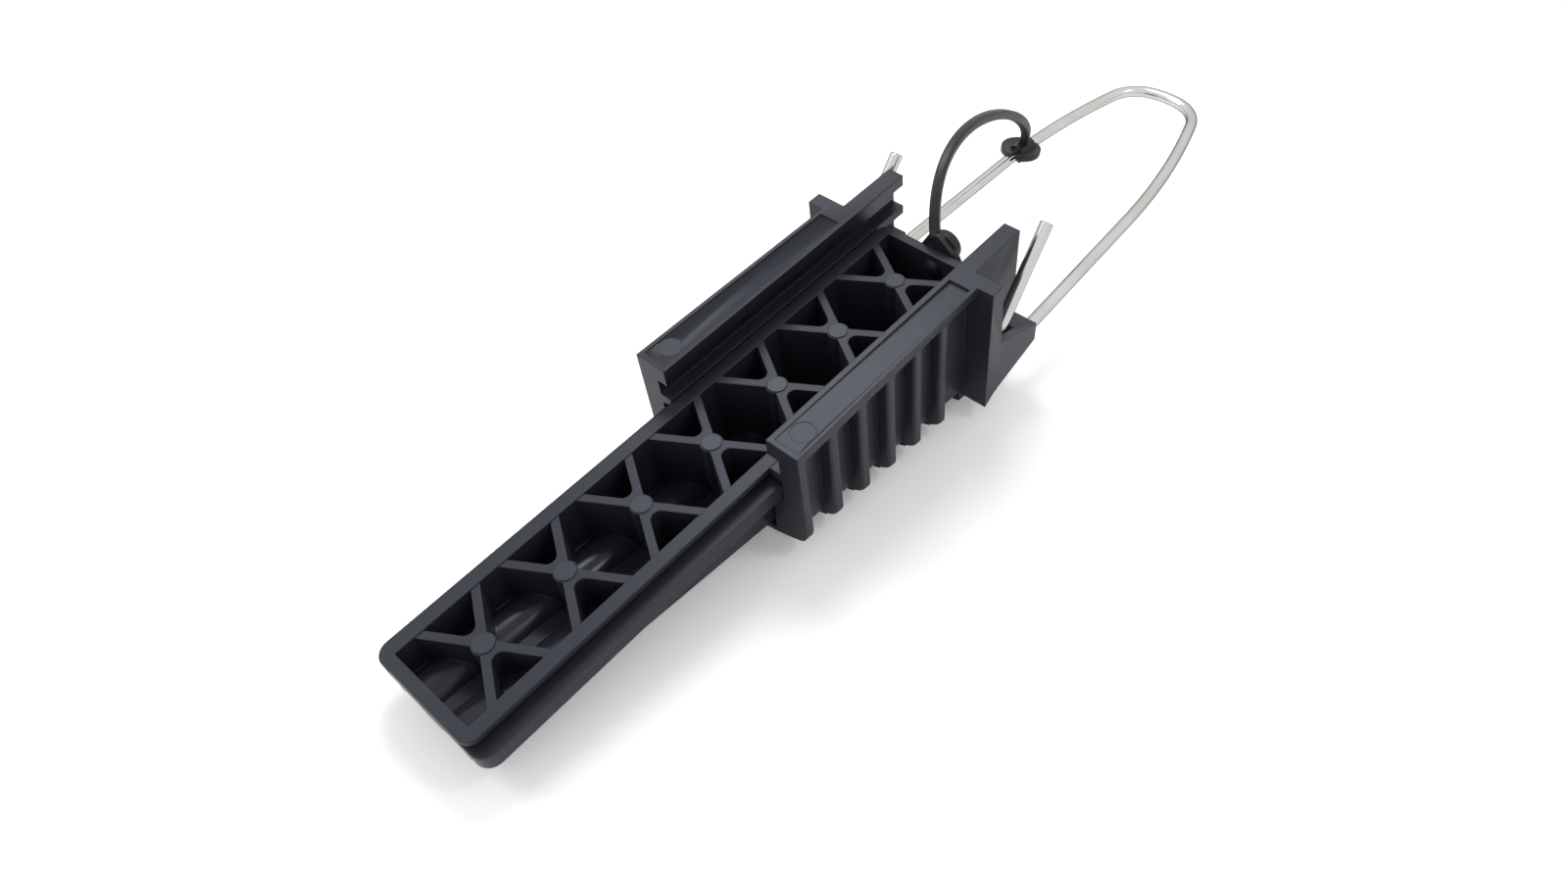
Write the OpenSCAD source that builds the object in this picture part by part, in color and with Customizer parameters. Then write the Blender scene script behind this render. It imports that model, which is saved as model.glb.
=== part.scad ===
// Tension clamp for a drop cable. A finned housing carries rails that rise to the rear,
// a tapered wedge slides in them and presses the cable onto the floor, a bent wire bail
// hangs the clamp up, and a moulded tether ties the wedge to the bail.
// Lengths are in mm. The housing stands on its foot, x runs to the bail and y to the left.
// The origin is on the foot, at the middle fin.

/* [Rails] */
// Angle at which the rails rise to the rear, above the foot
tilt = 7; // [5:0.5:8]
// Height of the rails' top above the foot, at the front end
base_depth = 44.5; // [44:0.5:60]
// Width between the lips at the top of the channel
channel_width = 38; // [36:0.5:42]
// Width of both rail grooves
groove_width = 45.6; // [44:0.2:47]
// Height of the lip over the upper groove
lip_height = 5.8; // [4:0.1:8]
// Height of the upper groove
upper_groove = 6; // [5:0.1:8]
// Height of the ledge between the grooves
ledge_height = 3; // [2:0.1:4]
// Height of the lower groove, in which the wedge runs
lower_groove = 7.7; // [7:0.1:9]
// Length of the taller groove mouth at the rear end
mouth_length = 6; // [3:0.5:10]
// Height that the groove mouth gains
mouth_rise = 2; // [1:0.1:3]

/* [Housing] */
// Length from the front end to the flange's rear face
trough_length = 82; // [70:1:110]
// Width over the strips at the front end
body_width = 60; // [58:0.5:66]
// Width that the strips lose towards the flange
body_taper = 2.2; // [0:0.1:4]
// Width over the shell between the fins
shell_width = 50.8; // [49:0.2:54]
// Width of the channel below the rails
throat_width = 36; // [34:0.5:37]
// Height of the band along the strips' outer edge
band_height = 3; // [2:0.1:5]
// Thickness of the front end plate
end_plate = 3.5; // [2:0.1:5]
// Number of fins behind the end plate
fin_count = 5; // [3:2:5]
// Thickness of a fin
fin_thickness = 3.8; // [2:0.1:5]
// Distance from the front end to the first fin
fin_start = 12.3; // [9:0.1:14]
// Distance from fin to fin
fin_pitch = 12; // [8:0.1:13]
// Width of the flat foot under the fins
foot_width = 16; // [10:0.5:24]
// Radius of the rounded underside
belly_radius = 62; // [50:1:90]
// Radius of the fins' lower corners
belly_corner = 6; // [3:0.5:10]
// Height by which the shell stays above the foot
belly_relief = 0.8; // [0.4:0.1:1]
// Height of the floor's ridges above the foot
floor_height = 4; // [3.8:0.1:5]
// Radius between the channel's floor and walls
floor_corner = 1; // [0.5:0.1:1]

/* [Strips] */
// Length of the sunk panel on each strip
panel_length = 75.2; // [60:0.2:76]
// Depth of the panel at the front end
panel_shallow = 0.15; // [0.1:0.05:0.5]
// Depth of the panel at the rear step
panel_deep = 0.9; // [0.5:0.1:1.5]
// Width of the border beside the channel
inner_border = 1.7; // [1:0.1:3]
// Width of the border at the outer edge
outer_border = 1.2; // [0.8:0.1:2]
// Diameter of the round ejector mark on each panel
ejector_mark = 7; // [4:0.5:8]
// Distance of the ejector mark from the front end
ejector_place = 8; // [6:0.5:12]
// Depth of the ejector mark below the panel
ejector_depth = 0.25; // [0.1:0.05:0.5]

/* [Flange and hooks] */
// Thickness of the flange at the top
flange_thickness = 4.9; // [3:0.1:7]
// Width over the flange and the hooks
flange_width = 68.8; // [67:0.2:74]
// Radius of the flange's underside
flange_radius = 112; // [80:1:150]
// Length of the arms behind the flange
arm_length = 22; // [20:0.5:30]
// Width over the arms' outer faces
arm_width = 49; // [48:0.2:50]
// Length of the hooks behind the flange
hook_length = 20.5; // [18:0.5:22]
// Depth of the notch over the hook, below the rails' top
notch_depth = 24.2; // [20:0.2:26]
// Distance of the notch's corner behind the flange
notch_offset = 1.4; // [0:0.1:3]
// Fall of the hook's top to its rear end
hook_fall = 6.8; // [4:0.2:8]
// Height of the hook's rear end
hook_nose = 7.1; // [5:0.1:9]
// Drop of the hook's underside from the rear end to the flange
hook_drop = 6.3; // [4:0.1:8]
// Height of the steeper run from the hook's heel to the flange's front
hook_toe = 3.2; // [2:0.1:4]
// Wall of the hook outside the slot for the bail
hook_cheek = 3; // [2.5:0.1:3.5]

/* [Wedge] */
// Overall length of the wedge
wedge_length = 195.7; // [180:0.5:220]
// Length that stands out in front of the housing at rest
wedge_reach = 101.6; // [85:0.5:120]
// Gap on each side between the rim and the channel
rim_slack = 0.4; // [0.3:0.05:1]
// Gap on each side between the lips and the lower groove
lip_slack = 0.5; // [0.3:0.05:1]
// Gap between the lips' underside and the lower groove
lip_lift = 0.3; // [0.3:0.05:0.6]
// Gap on each side between the body and the channel below the rails
body_slack = 0.8; // [0.5:0.1:1.5]
// Width of the rim's flat top beside the cells
rim_wall = 4; // [3:0.1:5]
// Thickness of the front wall
front_wall = 3.5; // [2:0.1:5]
// Thickness of the rear wall
rear_wall = 3; // [2:0.1:5]
// Height of the rim over the side recess
rim_height = 1.8; // [1:0.1:2]
// Height of the side recess
recess_height = 2.5; // [2:0.1:3]
// Depth of the side recess
recess_depth = 2; // [1:0.1:2.5]
// Height of the lower lips that run in the housing's lower groove
lip_thickness = 5.5; // [4:0.1:5.6]
// Radius of the lips' corners
lip_corner = 4.5; // [2:0.1:6]
// Radius of the upright corners
wedge_corner = 3.5; // [2:0.1:4]
// Gap between the wedge's underside and the floor at rest
cable_gap = 3.05; // [2.5:0.05:6]
// Thickness of the wedge's floor
wedge_floor = 2; // [1.5:0.1:3]

/* [Cells] */
// Number of crossings in the lattice
cell_count = 7; // [5:1:8]
// Distance from the front end to the first crossing
lattice_front = 19.4; // [16:0.1:22]
// Distance from the last crossing to the rear end
lattice_rear = 18; // [15:0.1:21]
// Half the length that one crossing covers along the rim
lattice_spread = 8.75; // [7:0.05:11]
// Thickness of the lattice ribs
rib_thickness = 2.4; // [1.5:0.1:3]
// Diameter of the boss at each crossing
boss_diameter = 6.5; // [5:0.1:8]
// Radius where two ribs meet at a boss
rib_fillet = 2.5; // [1:0.1:3]
// Depth of the ribs' tops below the rim
rib_drop = 0.3; // [0.1:0.1:1]

/* [Cable grooves] */
// Distance between the two cable grooves
groove_spacing = 16; // [15:0.5:18]
// Radius of the cable grooves in the wedge and the floor
cable_radius = 5.5; // [5:0.1:6]
// Depth of the cable grooves in the wedge's underside
wedge_groove = 3.5; // [2:0.1:4]
// Depth of the cable grooves in the floor
floor_groove = 1.8; // [1:0.1:2]
// Wall over the wedge's cable grooves
groove_wall = 1.8; // [1.2:0.1:2.5]

/* [Bail] */
// Diameter of the wire
wire_diameter = 4.1; // [3.6:0.1:4.4]
// Depth of the loop's plane below the rails' top
loop_depth = 41; // [40.5:0.1:42]
// Distance of the bail's pivot behind the flange
pivot_offset = 3; // [2.9:0.1:4]
// Radius of the bend in the hook, at the wire's middle
hook_bend = 3; // [2.9:0.1:3.5]
// Angle of the wire's free ends above the legs
stub_angle = 49.5; // [45:0.5:55]
// Length of the wire's free ends beyond the bend
stub_length = 46; // [30:0.5:50]
// Length of the straight legs
leg_length = 85.3; // [70:0.1:120]
// Angle at which each leg leans inwards
leg_lean = 2; // [1:0.1:3]
// Radius of the loop's long sides
side_radius = 238; // [200:1:300]
// Angle through which each long side turns
side_turn = 14.5; // [12:0.5:17]
// Radius of the loop's corners
corner_radius = 14; // [10:0.5:18]
// Angle through which each corner turns
corner_turn = 63.5; // [60:0.5:66]
// Angle that the bail may drop from rest
swing_down = 6; // [2:0.5:8]
// Angle that the bail may rise from rest
swing_up = 2; // [0:0.5:3]
// Slack between the wire and the hook
wire_slack = 0.25; // [0.15:0.05:0.4]

/* [Tether] */
// Width and thickness of the strap
strap_size = 3.2; // [2.5:0.1:4]
// Diameter of the root disc on the wedge's rear wall
root_diameter = 16; // [12:0.5:20]
// Thickness of the root disc
root_thickness = 2.4; // [1.5:0.1:4]
// Distance of the root's middle from the centre line, to the right
root_offset = 2.5; // [0:0.1:5]
// Depth of the root's middle below the wedge's rim
root_depth = 5; // [4.5:0.1:8]
// Diameter of the round button behind the root disc
button_diameter = 12; // [8:0.5:14]
// Thickness of the button
button_thickness = 3.4; // [2:0.1:5]
// Diameter of the stud through the rear wall
stud_diameter = 4; // [3:0.1:5]
// Slack round the stud
stud_slack = 0.2; // [0.1:0.05:0.4]
// Diameter of the stud's head inside the wedge
head_diameter = 6.4; // [5.5:0.1:8]
// Thickness of the stud's head
head_thickness = 1.6; // [1:0.1:3]
// Height of the strap's foot above the rim
strap_foot = 15.5; // [10:0.5:20]
// Distance of the strap's foot from the centre line, to the left
strap_side = 1.2; // [0:0.1:4]
// Depth to which the strap's end reaches into the clip's disc
strap_seat = 0.3; // [0.2:0.05:0.35]
// Distance of the clip along the bail, behind the straight leg
clip_run = 11.5; // [5:0.5:30]
// Diameter of the clip's disc
clip_diameter = 15.5; // [12:0.5:20]
// Thickness of the clip's disc
clip_thickness = 2.8; // [2.4:0.1:4]
// Height of the disc's middle over the wire's middle
clip_lift = 2.2; // [2:0.1:3]
// Angle at which the disc leans to the rear
clip_lean = 13; // [0:1:20]
// Depth of the dish in the disc's top
clip_dish = 0.7; // [0.3:0.1:0.8]
// Width of the notch at the disc's front edge
notch_width = 2.6; // [1:0.1:4]
// Slack between the clip and the wire
clip_slack = 0.15; // [0.1:0.05:0.3]
// Wall of the clip's saddle round the wire
saddle_wall = 1.6; // [1:0.1:2.5]
// Length of the saddle along the wire
saddle_length = 8; // [5:0.5:12]

/* [Hidden] */
$fn = 64;

nylon = [0.16, 0.16, 0.18];
steel = [0.80, 0.81, 0.82];
rubber = [0.13, 0.13, 0.14];

// One overrun serves all cuts
over = lip_height;
// Half the length of the prisms that run along the foot
far = wedge_length + leg_length;
// Share of its radius by which a corner's circle crosses the line or arc that it blends into
cross_share = 0.01;

// Places along and across the rails
groove_top = lip_height + upper_groove + ledge_height;
shoulder = groove_top + lower_groove;
middle_fin = fin_start + fin_pitch * (fin_count - 1) / 2 + fin_thickness / 2;
origin_x = middle_fin / cos(tilt) + base_depth * sin(tilt);
flange_front = trough_length - flange_thickness;
taper_angle = atan(body_taper / 2 / trough_length);
panel_slope = atan((panel_deep - panel_shallow) / panel_length);

// Centres of the underside's two arcs, so that both cut the foot's plane at the foot's width
belly_centre = sqrt(pow(belly_radius, 2) - pow(foot_width / 2, 2));
flange_centre = sqrt(pow(flange_radius, 2) - pow(foot_width / 2, 2));

// The hook's side outline, from the notch round to the flange's front
hook_outline = [
    [flange_front, -notch_depth], [trough_length + notch_offset, -notch_depth],
    [trough_length + hook_length, -notch_depth - hook_fall],
    [trough_length + hook_length, -notch_depth - hook_fall - hook_nose],
    [trough_length, -notch_depth - hook_fall - hook_nose - hook_drop],
    [flange_front, -notch_depth - hook_fall - hook_nose - hook_drop - hook_toe]
];

// The wedge's place, and its levels and widths, which leave their gaps to the rails
wedge_rear = wedge_length - wedge_reach;
lip_top = rim_height + recess_height;
lip_bottom = lip_top + lip_thickness;
rim_drop = shoulder - lip_lift - lip_bottom;
rim_width = channel_width - 2 * rim_slack;
lip_width = groove_width - 2 * lip_slack;
wedge_body = throat_width - 2 * body_slack;
underside = floor_height + cable_gap;
cell_half = rim_width / 2 - rim_wall;
cell_pitch = (wedge_length - lattice_front - lattice_rear) / (cell_count - 1);
rib_angle = atan(cell_half / lattice_spread);

// The slot in the hook. The leg drifts inwards over the hook's length, so it is wider by that much
wire_radius = wire_diameter / 2;
pivot_x = trough_length + pivot_offset;
pivot_z = hook_bend - loop_depth;
seat_radius = hook_bend + wire_radius + wire_slack;
horn_radius = hook_bend - wire_radius - wire_slack;
leg_drift = hook_length * sin(leg_lean);
slot_width = wire_diameter + 2 * wire_slack + leg_drift;
slot_middle = flange_width / 2 - hook_cheek - slot_width / 2;

// The bail's headings, measured inwards from the rails' direction, and the nose that closes it
bail_half = slot_middle + leg_drift / 2;
side_end = leg_lean + side_turn;
corner_end = side_end + corner_turn;
nose_half = bail_half - leg_length * sin(leg_lean)
    - side_radius * (cos(leg_lean) - cos(side_end))
    - corner_radius * (cos(side_end) - cos(corner_end));
nose_radius = nose_half / cos(corner_end);
// Sides of the swept wire and steps along its arcs
wire_sides = 20;
bend_steps = 8;
side_steps = 6;
nose_steps = 3;

// The clip's place on the left leg and the tether's route between its two ends
clip_heading = leg_lean + clip_run / side_radius * 180 / PI;
clip_place = [
    pivot_x + leg_length * cos(leg_lean) + side_radius * (sin(clip_heading) - sin(leg_lean)),
    bail_half - leg_length * sin(leg_lean) - side_radius * (cos(leg_lean) - cos(clip_heading)),
    -loop_depth
];
root_place = [wedge_rear + root_thickness / 2, -root_offset, -rim_drop - root_depth];
strap_start = [root_place[0], strap_side, strap_foot - rim_drop];
strap_lift = clip_lift + clip_thickness / 2 - clip_dish - strap_seat;
strap_end = clip_place + [strap_lift * sin(clip_lean), 0, strap_lift * cos(clip_lean)];
saddle_radius = wire_radius + clip_slack + saddle_wall;
strap_span = strap_end[0] - strap_start[0];
// Shares of the span by which the curve's two handles reach, along x, y and z
start_handle_share = [0.13, 0.125, 0.17];
end_handle_share = [-0.005, 0.017, 0.31];
strap_steps = 32;
strap_handles = [
    strap_start, strap_start + strap_span * start_handle_share,
    strap_end + strap_span * end_handle_share, strap_end
];
// Corners of the strap's section as shares of its size, a square with cut corners
section_sides = 8;
section_share = 0.5 / cos(180 / section_sides);
strap_section_share = [
    for (k = [0.5 : section_sides])
        section_share * [cos(k * 360 / section_sides), sin(k * 360 / section_sides)]
];

// The rails' frame: origin at the front end's top, x along the rails
module on_rails() {
    translate([-origin_x, 0, base_depth * cos(tilt)]) rotate([0, -tilt, 0]) children();
}

// A prism along the foot, from an outline in y and z
module along_foot() {
    translate([-far, 0, 0]) rotate([90, 0, 90]) linear_extrude(2 * far) children();
}

// A prism along the rails from one x to another, from an outline in y and z
module along_rails(from, to) {
    translate([from, 0, 0]) rotate([90, 0, 90]) linear_extrude(to - from) children();
}

// The same prism on both sides, between two distances from the middle, from an outline in x and z
module on_both_sides(inner, outer) {
    for (side = [0, 1]) mirror([0, side, 0])
        translate([0, outer, 0]) rotate([90, 0, 0]) linear_extrude(outer - inner) children();
}

// A rectangle centred on x, standing between two levels
module wide_band(width, bottom, top) {
    translate([-width / 2, bottom]) square([width, top - bottom]);
}

// Outline of a rounded underside: upright sides, rounded corners and one wide arc
module belly(width, radius, centre, corner, bottom) {
    half = width / 2;
    corner_z = centre - sqrt(pow(radius - corner, 2) - pow(half - corner, 2))
        - cross_share * corner;
    arc_half = (half - corner) * radius / (radius - corner);
    intersection() {
        translate([0, centre]) circle(radius, $fn = 180);
        wide_band(2 * arc_half, bottom, centre);
    }
    wide_band(width, corner_z, centre + base_depth);
    for (side = [-1, 1]) translate([side * (half - corner), corner_z]) circle(corner);
}

// Plan outline with rounded corners, from one x to another
module rounded_plan(from, to, width, corner) {
    translate([from + corner, -width / 2]) square([to - from - 2 * corner, width]);
    translate([from, corner - width / 2]) square([to - from, width - 2 * corner]);
    for (x = [from + corner, to - corner], y = [corner - width / 2, width / 2 - corner])
        translate([x, y]) circle(corner);
}

// Housing

// Plan of the strips, narrower towards the flange
module strip_plan(inset, to) {
    front = body_width / 2 - inset;
    rear = front - to * tan(taper_angle);
    polygon([[0, -front], [to, -rear], [to, rear], [0, front]]);
}

module trough() {
    intersection() {
        union() {
            along_foot() belly(shell_width, belly_radius - belly_relief, belly_centre,
                belly_corner, belly_relief);
            intersection() {
                along_foot() belly(body_width, belly_radius, belly_centre, belly_corner, 0);
                on_rails() fin_slabs();
            }
        }
        on_rails() translate([0, 0, -2 * base_depth]) linear_extrude(2 * base_depth)
            strip_plan(0, trough_length);
    }
}

// Slabs in which the fins, the end plate and the strips' band keep their full width
module fin_slabs() {
    along_rails(0, end_plate) wide_band(body_width, -2 * base_depth, 0);
    for (i = [0 : fin_count - 1]) {
        x = fin_start + i * fin_pitch;
        along_rails(x, x + fin_thickness) wide_band(body_width, -2 * base_depth, 0);
    }
    along_rails(0, trough_length) wide_band(body_width, -band_height, 0);
}

module flange() {
    intersection() {
        along_foot() belly(flange_width, flange_radius, flange_centre, wire_radius, 0);
        on_rails() rotate([90, 0, 0]) linear_extrude(flange_width, center = true) polygon([
            [flange_front, 0], [trough_length, 0], [trough_length + notch_offset, -notch_depth],
            [trough_length, -2 * base_depth], [flange_front, -2 * base_depth]
        ]);
        on_rails() flange_foot();
    }
}

// Side view that cuts the flange's lower corners back to the hooks' undersides
module flange_foot() {
    toe = hook_outline[5];
    heel = hook_outline[4];
    linear_extrude(4 * base_depth, center = true)
        translate([flange_front - over, -arm_width / 2]) square([2 * arm_length, arm_width]);
    rotate([90, 0, 0]) linear_extrude(flange_width, center = true) polygon([
        [flange_front - over, over], [trough_length + arm_length, over],
        [trough_length + arm_length, heel[1]], heel, toe, [toe[0], toe[1] - over],
        [flange_front - over, toe[1] - over]
    ]);
}

module hooks() {
    on_both_sides(throat_width / 2, flange_width / 2) polygon(hook_outline);
    on_both_sides(throat_width / 2, arm_width / 2) polygon([
        [flange_front, 0], [trough_length + arm_length, 0],
        [trough_length + arm_length, hook_outline[3][1]], hook_outline[3], hook_outline[4],
        [flange_front, hook_outline[4][1]]
    ]);
}

// Everything that is open between the walls
module channel() {
    rear = trough_length + arm_length + over;
    on_rails() {
        along_rails(-over, rear) wide_band(channel_width, -groove_top, over);
        along_rails(-over, rear)
            wide_band(groove_width, -lip_height - upper_groove, -lip_height);
        along_rails(-over, rear) wide_band(groove_width, -shoulder, -groove_top);
        along_rails(trough_length + arm_length - mouth_length, rear)
            wide_band(groove_width, -lip_height, mouth_rise - lip_height);
    }
    along_foot() {
        wide_band(throat_width, floor_height + floor_corner, 2 * base_depth);
        wide_band(throat_width - 2 * floor_corner, floor_height, 2 * base_depth);
        for (side = [-1, 1]) {
            translate([side * (throat_width / 2 - floor_corner), floor_height + floor_corner])
                circle(floor_corner);
            translate([side * groove_spacing / 2, floor_height - floor_groove + cable_radius])
                circle(cable_radius);
        }
    }
}

// The sunk panels on both strips, each with its ejector mark
module panels() {
    inner = channel_width / 2 + inner_border;
    for (side = [0, 1]) mirror([0, side, 0])
        translate([0, 0, -panel_shallow]) rotate([0, panel_slope, 0]) {
            linear_extrude(over) intersection() {
                strip_plan(outer_border, panel_length);
                translate([end_plate / 2, inner]) square([panel_length, body_width]);
            }
            translate([ejector_place, (inner + body_width / 2 - outer_border) / 2, -ejector_depth])
                cylinder(h = over, d = ejector_mark);
        }
}

// Side view of the slot in which the bail's bend sits, with the horn that it pulls on left standing
module bail_slot() {
    reach = 2 * arm_length;
    high = stub_angle + swing_up;
    low = stub_angle - swing_down;
    translate([pivot_x, pivot_z]) difference() {
        union() {
            circle(seat_radius);
            polygon([
                [0, 0], reach * [cos(low), sin(low)],
                seat_radius * [-sin(high), cos(high)] + reach * [cos(high), sin(high)],
                seat_radius * [-sin(high), cos(high)]
            ]);
            polygon([
                [-hook_bend, 0], [reach, reach * sin(swing_up)], [reach, -reach],
                [-hook_bend, -reach]
            ]);
        }
        circle(horn_radius);
        polygon([
            horn_radius * [-sin(low), cos(low)],
            horn_radius * [-sin(low), cos(low)] + reach * [cos(low), sin(low)],
            horn_radius * [sin(swing_up), -cos(swing_up)]
                + reach * [cos(swing_up), sin(swing_up)],
            horn_radius * [sin(swing_up), -cos(swing_up)]
        ]);
    }
}

module housing() {
    color(nylon) difference() {
        union() {
            trough();
            flange();
            on_rails() hooks();
        }
        channel();
        on_rails() {
            panels();
            on_both_sides(slot_middle - slot_width / 2, slot_middle + slot_width / 2)
                bail_slot();
        }
    }
}

// Wedge

// The outside, from the rim down, before the underside is cut
module wedge_outside() {
    translate([0, 0, -rim_drop]) {
        translate([0, 0, -rim_height]) linear_extrude(rim_height)
            rounded_plan(-wedge_reach, wedge_rear, rim_width, wedge_corner);
        translate([0, 0, -lip_top]) linear_extrude(recess_height)
            rounded_plan(-wedge_reach, wedge_rear, rim_width - 2 * recess_depth, wedge_corner);
        translate([0, 0, -lip_bottom]) linear_extrude(lip_thickness)
            rounded_plan(-wedge_reach, wedge_rear, lip_width, lip_corner);
        translate([0, 0, -2 * base_depth]) linear_extrude(2 * base_depth - lip_bottom)
            rounded_plan(-wedge_reach, wedge_rear, wedge_body, wedge_corner);
    }
}

// The two cable grooves, or the ridges over them, as circles below the underside
module groove_circles(wall) {
    for (side = [-1, 1])
        translate([side * groove_spacing / 2, underside + wedge_groove - cable_radius])
            circle(cable_radius + wall);
}

// One crossing of two ribs with its boss and rounded corners
module crossing() {
    corner_y = rib_thickness / 2 / cos(rib_angle);
    fillet_y = corner_y + rib_fillet / cos(rib_angle);
    for (turn = [rib_angle, -rib_angle]) rotate(turn)
        square([2 * (cell_half + rim_wall) / sin(rib_angle), rib_thickness], center = true);
    circle(d = boss_diameter);
    for (turn = [0, 180]) rotate(turn) difference() {
        polygon([
            [0, corner_y], [rib_fillet * sin(rib_angle), fillet_y - rib_fillet * cos(rib_angle)],
            [-rib_fillet * sin(rib_angle), fillet_y - rib_fillet * cos(rib_angle)]
        ]);
        translate([0, fillet_y]) circle(rib_fillet);
    }
}

module cells() {
    difference() {
        on_rails() translate([0, 0, -2 * base_depth]) linear_extrude(3 * base_depth)
            translate([front_wall - wedge_reach, -cell_half])
                square([wedge_length - front_wall - rear_wall, 2 * cell_half]);
        along_foot() {
            wide_band(wedge_body, -base_depth, underside + wedge_floor);
            groove_circles(groove_wall);
        }
        on_rails() for (i = [0 : cell_count - 1])
            translate([lattice_front - wedge_reach + i * cell_pitch, 0, -2 * base_depth])
                linear_extrude(2 * base_depth - rim_drop - rib_drop) crossing();
    }
}

module wedge() {
    color(nylon) difference() {
        intersection() {
            on_rails() wedge_outside();
            along_foot() wide_band(body_width, underside, 3 * base_depth);
        }
        cells();
        along_foot() groove_circles(0);
        on_rails() translate([wedge_rear - rear_wall - over, root_place[1], root_place[2]])
            rotate([0, 90, 0]) cylinder(h = rear_wall + 2 * over, d = stud_diameter + 2 * stud_slack);
    }
}

// Swept shapes

function unit(v) = v / norm(v);

// A station of a swept path holds a point and the section's two directions there.
// The sweep joins the section's corners from one station to the next.
module sweep(stations, section) {
    sides = len(section);
    last_ring = (len(stations) - 1) * sides;
    points = [
        for (s = stations, c = section) s[0] + c[0] * s[1] + c[1] * s[2]
    ];
    walls = [
        for (i = [0 : len(stations) - 2], k = [0 : sides - 1])
            let (a = i * sides + k, b = i * sides + (k + 1) % sides)
                [a, a + sides, b + sides, b]
    ];
    first = [for (k = [0 : sides - 1]) k];
    last = [for (k = [sides - 1 : -1 : 0]) last_ring + k];
    polyhedron(points, concat([first], walls, [last]));
}

// Bail

// A station in the leg's upright plane, from its x and z there and the wire's heading
function leg_station(x, z, heading) = let (lean = [cos(leg_lean), -sin(leg_lean), 0]) [
    [pivot_x, bail_half, -loop_depth] + x * lean + [0, 0, z],
    [sin(leg_lean), cos(leg_lean), 0],
    [-sin(heading) * lean[0], -sin(heading) * lean[1], cos(heading)]
];

// A station in the loop's plane, where the wire has turned inwards by its heading
function loop_station(start, radius, from, heading) = [
    start + radius * [sin(heading) - sin(from), cos(heading) - cos(from), 0],
    [sin(heading), cos(heading), 0], [0, 0, 1]
];

// The stations along one arc of the loop, without its start
function loop_arc(start, radius, from, turn, steps) = [
    for (i = [1 : steps]) loop_station(start, radius, from, from + turn * i / steps)
];

// The left half, from the free end round the bend in the hook and along the leg to the nose
function half_bail() = let (
    stub = [-sin(stub_angle), cos(stub_angle)] * hook_bend,
    tip = stub + [cos(stub_angle), sin(stub_angle)] * stub_length,
    hook = [
        for (i = [0 : bend_steps])
            let (turn = 90 + stub_angle + (180 - stub_angle) * i / bend_steps)
                leg_station(hook_bend * cos(turn), hook_bend + hook_bend * sin(turn), turn + 90)
    ],
    side_start = leg_station(leg_length, 0, 0)[0],
    side = loop_arc(side_start, side_radius, leg_lean, side_turn, side_steps),
    corner = loop_arc(side[side_steps - 1][0], corner_radius, side_end, corner_turn, bend_steps),
    nose = loop_arc(corner[bend_steps - 1][0], nose_radius, corner_end, 90 - corner_end, nose_steps)
) concat(
    [leg_station(tip[0], hook_bend + tip[1], stub_angle + 180)], hook,
    [leg_station(leg_length, 0, 0)], side, corner, nose
);

// The same point or direction on the right
function mirrored(v) = [v[0], -v[1], v[2]];

module bail() {
    left = half_bail();
    right = [
        for (i = [len(left) - 2 : -1 : 0])
            [mirrored(left[i][0]), mirrored(left[i][1]), mirrored(left[i][2])]
    ];
    color(steel) on_rails() sweep(concat(left, right), [
        for (k = [0 : wire_sides - 1])
            wire_radius * [cos(k * 360 / wire_sides), sin(k * 360 / wire_sides)]
    ]);
}

// Tether

// A point on the strap's curve, with t from 0 to 1, and the curve's direction there
function curve_point(h, t) = pow(1 - t, 3) * h[0] + 3 * pow(1 - t, 2) * t * h[1]
    + 3 * (1 - t) * t * t * h[2] + pow(t, 3) * h[3];
function curve_direction(h, t) = pow(1 - t, 2) * (h[1] - h[0])
    + 2 * (1 - t) * t * (h[2] - h[1]) + t * t * (h[3] - h[2]);

// The strap, with its flat sides square to the upright plane through both its ends
module strap() {
    across = unit(cross([0, 0, 1], strap_end - strap_start));
    sweep([
        for (i = [0 : strap_steps])
            let (
                along = unit(curve_direction(strap_handles, i / strap_steps)),
                up = unit(cross(along, across))
            )
                [curve_point(strap_handles, i / strap_steps), cross(up, along), up]
    ], strap_size * strap_section_share);
}

// The root: a disc that tapers into the strap, a button behind it and a stud through the wall
module tether_root() {
    foot = strap_start - root_place;
    rise = foot[2] + strap_size / 2;
    lean = atan(foot[1] / rise);
    reach = norm([foot[1], rise]);
    grip = acos((root_diameter - strap_size) / 2 / reach);
    spread = (1 - 4 * cross_share) * root_diameter / 2 * [sin(grip), cos(grip)];
    translate([root_place[0] - root_thickness / 2, root_place[1], root_place[2]])
        rotate([90, 0, 90]) {
            linear_extrude(root_thickness) {
                circle(d = root_diameter);
                rotate(-lean) polygon([
                    [-spread[0], spread[1]], [spread[0], spread[1]],
                    [strap_size / 2, reach], [-strap_size / 2, reach]
                ]);
            }
            translate([0, 0, root_thickness]) button();
            translate([0, 0, -rear_wall - stud_slack])
                cylinder(h = rear_wall + stud_slack, d = stud_diameter);
            translate([0, 0, -rear_wall - stud_slack - head_thickness])
                cylinder(h = head_thickness, d1 = stud_diameter, d2 = head_diameter);
        }
}

// A button with a rounded edge
module button() {
    round = button_thickness / 2;
    cylinder(h = button_thickness - round, d = button_diameter);
    translate([0, 0, button_thickness - round]) rotate_extrude() {
        square([button_diameter / 2 - round, round]);
        translate([button_diameter / 2 - round, 0]) intersection() {
            circle(round);
            square(round);
        }
    }
}

// The disc's frame, with its middle over the wire and its top leaning to the rear
module on_disc() {
    translate([clip_lift * sin(clip_lean), 0, clip_lift * cos(clip_lean)])
        rotate([0, clip_lean, 0]) children();
}

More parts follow.
